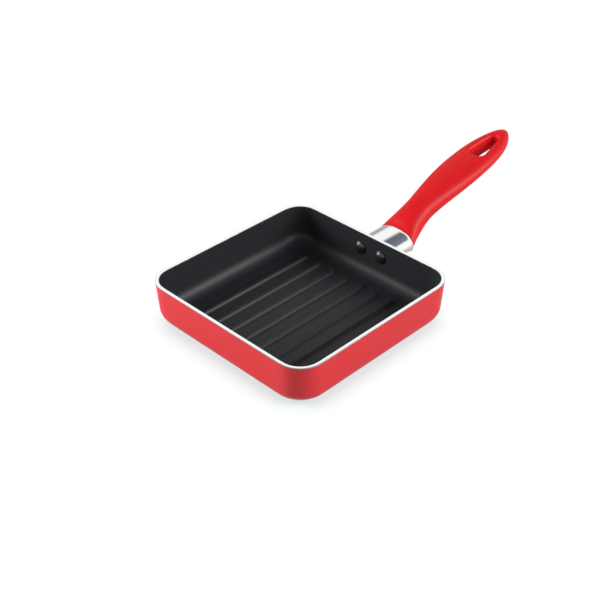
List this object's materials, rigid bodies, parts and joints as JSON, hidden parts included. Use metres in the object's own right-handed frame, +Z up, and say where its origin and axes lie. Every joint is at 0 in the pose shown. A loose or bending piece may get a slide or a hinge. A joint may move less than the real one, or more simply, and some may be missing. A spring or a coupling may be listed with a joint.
{
  "type": "grill pan",
  "caption": "Small square grill pan with a black non-stick inside, red outside, bare rim, oval metal ferrule and a curved red handle with a hanging slot.",
  "frame": {"origin": "centre of the pan's base, on the surface that the pan stands on", "axes": "+X out of the pan along the handle, +Y to the left looking along +X, +Z up"},
  "size_m": [0.2851, 0.14, 0.0611],
  "materials": {
    "bare_aluminium": "turned and polished bare metal",
    "black_nonstick": "satin black non-stick",
    "red_enamel": "satin red heat-proof lacquer",
    "cast_aluminium": "as cast",
    "black_rivet": "satin black non-stick",
    "polished_steel": "polished",
    "red_phenolic": "moulded, satin",
    "plated_steel": "zinc plated"
  },
  "bodies": {
    "root": {"pan_body": "bare_aluminium", "nonstick_lining": "black_nonstick", "outer_enamel": "red_enamel", "handle_bracket": "cast_aluminium", "rivet_left": "black_rivet", "rivet_right": "black_rivet", "ferrule": "polished_steel", "handle": "red_phenolic", "handle_screw": "plated_steel", "screw_washer": "plated_steel"}
  },
  "joints": []
}
